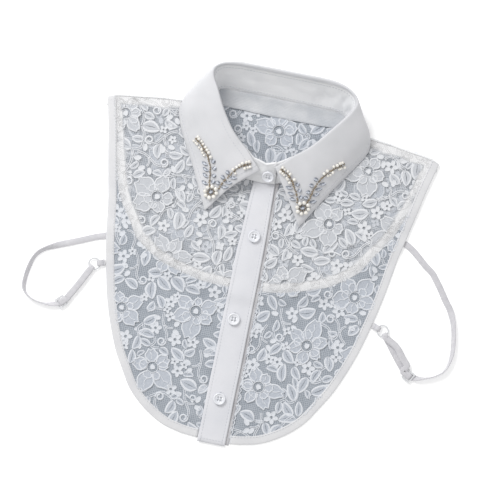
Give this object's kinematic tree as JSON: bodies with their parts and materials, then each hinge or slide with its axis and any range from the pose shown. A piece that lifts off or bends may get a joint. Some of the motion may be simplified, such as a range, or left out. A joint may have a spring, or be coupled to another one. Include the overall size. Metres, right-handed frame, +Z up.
{
  "type": "lace collar",
  "caption": "Detachable shirt collar with a lace bib front and back, a buttoned placket, bound edges, bead sprigs on the collar points and adjustable elastic side straps.",
  "frame": {"origin": "middle of the shoulder line, on the flat surface that the back panel's underside lies on", "axes": "+X across the shoulders, to the right as seen from above; +Y up to the back of the neck; +Z up off the surface, towards the buttoned front"},
  "size_m": [0.411, 0.3568, 0.0329],
  "materials": {
    "lace": "raised white cotton lace on fine net",
    "binding": "plain woven bias strip, folded",
    "cotton": "white cotton shirting, fused",
    "elastic": "matt narrow woven elastic",
    "plastic": "white moulded plastic",
    "button": "polished white button"
  },
  "bodies": {
    "root": {"back_panel": "lace", "front_panel_left": "lace", "front_panel_right": "lace", "back_binding": "binding", "front_binding_left": "binding", "front_binding_right": "binding", "back_neck_facing": "cotton", "placket": "cotton", "under_placket": "cotton", "collar_stand": "cotton", "collar_leaf": "cotton", "button_stand": "button", "button_upper": "button", "button_middle": "button", "button_lower": "button", "strap_left": "elastic", "strap_right": "elastic", "tab_left": "elastic", "tab_right": "elastic", "ring_left": "plastic", "ring_right": "plastic", "slider_left": "plastic", "slider_right": "plastic"}
  },
  "joints": []
}
